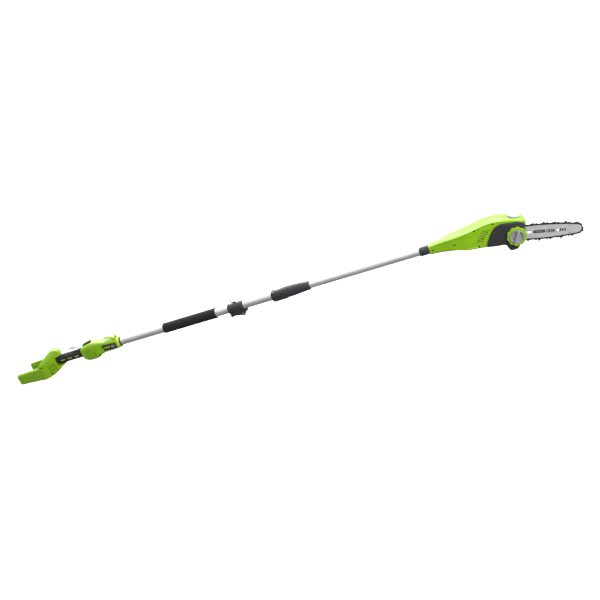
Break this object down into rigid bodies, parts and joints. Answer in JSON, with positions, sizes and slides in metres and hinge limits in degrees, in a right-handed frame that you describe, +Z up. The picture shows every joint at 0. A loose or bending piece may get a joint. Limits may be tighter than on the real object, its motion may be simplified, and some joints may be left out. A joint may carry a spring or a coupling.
{
  "type": "telescoping pole saw",
  "caption": "Battery telescoping pole saw: two-arm battery holder, grip and housing, sliding tubes with twist lock, and a green head with knob, guide bar and chain.",
  "frame": {"origin": "on the pole's axis, at the middle of the foam front grip", "axes": "+X along the pole towards the bar tip, +Z up on the oil cap's side, -Y on the clamp knob's side"},
  "size_m": [2.257, 0.1099, 0.1493],
  "materials": {
    "lime_shell": "satin moulded nylon",
    "light_lime": "satin moulded nylon",
    "black_rubber": "fine textured rubber",
    "foam": "closed cell foam",
    "black_plastic": "matt",
    "label": "printed film",
    "charcoal_plastic": "fine grained plastic",
    "grey_plastic": "satin",
    "pole_aluminium": "satin anodised",
    "case_alloy": "as cast",
    "steel": "plain",
    "bar_steel": "ground and lacquered",
    "dark_steel": "blued and oiled",
    "oil_tank_plastic": "translucent",
    "oil_cap_plastic": "satin"
  },
  "bodies": {
    "handle": {"battery_housing_near": "lime_shell", "battery_housing_far": "lime_shell", "terminal_block": "black_plastic", "terminal_blades": "steel", "grip_core": "black_plastic", "rear_grip": "black_rubber", "grip_inlays": "light_lime", "main_housing_near": "lime_shell", "main_housing_far": "lime_shell", "medallion_caps": "lime_shell", "label_plates": "label", "front_ring": "light_lime", "tube_seal": "black_rubber", "microswitch": "black_plastic", "control_pins": "steel", "trigger_spring": "steel", "housing_screws": "dark_steel", "outer_tube": "pole_aluminium", "foam_grip": "foam", "strap_collar": "charcoal_plastic", "collar_bolt": "steel", "coupler_near": "charcoal_plastic", "coupler_far": "charcoal_plastic", "coupler_screws": "dark_steel", "tube_collet": "black_plastic"},
    "lever": {"trigger_lever": "grey_plastic"},
    "button": {"lock_off_button": "black_plastic"},
    "latch": {"shaft_latch": "light_lime"},
    "ring": {"strap_ring": "dark_steel"},
    "cam": {"collar_lever": "charcoal_plastic"},
    "twist": {"lock_collar": "charcoal_plastic"},
    "extension": {"inner_tube": "pole_aluminium", "slide_bush": "black_plastic", "tail_collar": "charcoal_plastic", "head_shell_near": "lime_shell", "head_shell_far": "lime_shell", "head_screws": "dark_steel", "motor_can": "steel", "gear_case": "case_alloy", "spindle_bearings": "steel", "side_cover": "charcoal_plastic", "bar_stud": "steel", "tension_screw": "steel", "guide_bar": "bar_steel", "chain_drive_links": "dark_steel", "chain_tie_straps": "dark_steel", "chain_cutters": "dark_steel", "chain_rivets": "dark_steel", "oil_tank": "oil_tank_plastic", "oil_pump": "black_plastic"},
    "rotor": {"motor_rotor": "steel", "bevel_pinion": "steel"},
    "drive": {"spindle": "steel", "face_gear": "steel", "drive_sprocket": "steel"},
    "nose": {"nose_sprocket": "steel"},
    "tensioner": {"tension_ring": "lime_shell"},
    "knob": {"cover_knob": "grey_plastic"},
    "filler": {"oil_cap": "oil_cap_plastic"}
  },
  "joints": [
    {"name": "pole_slide", "type": "slide", "parent": "handle", "child": "extension", "axis": [1, 0, 0], "range_m": [-0.38, 0.25]},
    {"name": "collar_twist", "type": "hinge", "parent": "handle", "child": "twist", "pos_m": [0.45, 0, 0], "axis": [1, 0, 0], "range_deg": [0, 60]},
    {"name": "cam_swing", "type": "hinge", "parent": "handle", "child": "cam", "pos_m": [0.215, 0, -0.03], "axis": [0, -1, 0], "range_deg": [0, 95]},
    {"name": "ring_swing", "type": "hinge", "parent": "handle", "child": "ring", "pos_m": [0.194, 0, 0.0214], "axis": [1, 0, 0], "range_deg": [-120, 48]},
    {"name": "trigger_press", "type": "hinge", "parent": "handle", "child": "lever", "pos_m": [-0.446, 0, 0.019], "axis": [0, -1, 0], "range_deg": [0, 10], "stiffness_Nm_per_rad": 0.8, "springref_deg": -8.59},
    {"name": "lock_off_press", "type": "slide", "parent": "handle", "child": "button", "axis": [0, 0, -1], "range_m": [0, 0.003], "stiffness_N_per_m": 400, "springref_m": -0.002},
    {"name": "latch_lift", "type": "hinge", "parent": "handle", "child": "latch", "pos_m": [-0.32, 0, 0.0255], "axis": [0, 1, 0], "range_deg": [0, 25], "stiffness_Nm_per_rad": 0.3, "springref_deg": -11.46},
    {"name": "spindle_turn", "type": "hinge", "parent": "extension", "child": "drive", "pos_m": [1.22116, 0, -0.0166], "axis": [0, 1, 0], "continuous": true},
    {"name": "rotor_turn", "type": "hinge", "parent": "extension", "child": "rotor", "pos_m": [1.22116, 0.0095, -0.0166], "axis": [0.9903, 0, -0.1392], "continuous": true},
    {"name": "nose_turn", "type": "hinge", "parent": "extension", "child": "nose", "pos_m": [1.47985, -0.0195, -0.07538], "axis": [0, 1, 0], "continuous": true},
    {"name": "tension_turn", "type": "hinge", "parent": "extension", "child": "tensioner", "pos_m": [1.2744, -0.05, -0.0287], "axis": [0, -1, 0], "continuous": true},
    {"name": "knob_turn", "type": "hinge", "parent": "extension", "child": "knob", "pos_m": [1.2744, -0.05, -0.0287], "axis": [0, -1, 0], "continuous": true},
    {"name": "cap_turn", "type": "hinge", "parent": "extension", "child": "filler", "pos_m": [1.282, 0, 0.0317], "axis": [0.309, 0, 0.9511], "continuous": true}
  ],
  "couplings": [
    {"joint": "rotor_turn", "follows": "spindle_turn", "ratio": 2.6667},
    {"joint": "nose_turn", "follows": "spindle_turn", "ratio": 1}
  ]
}
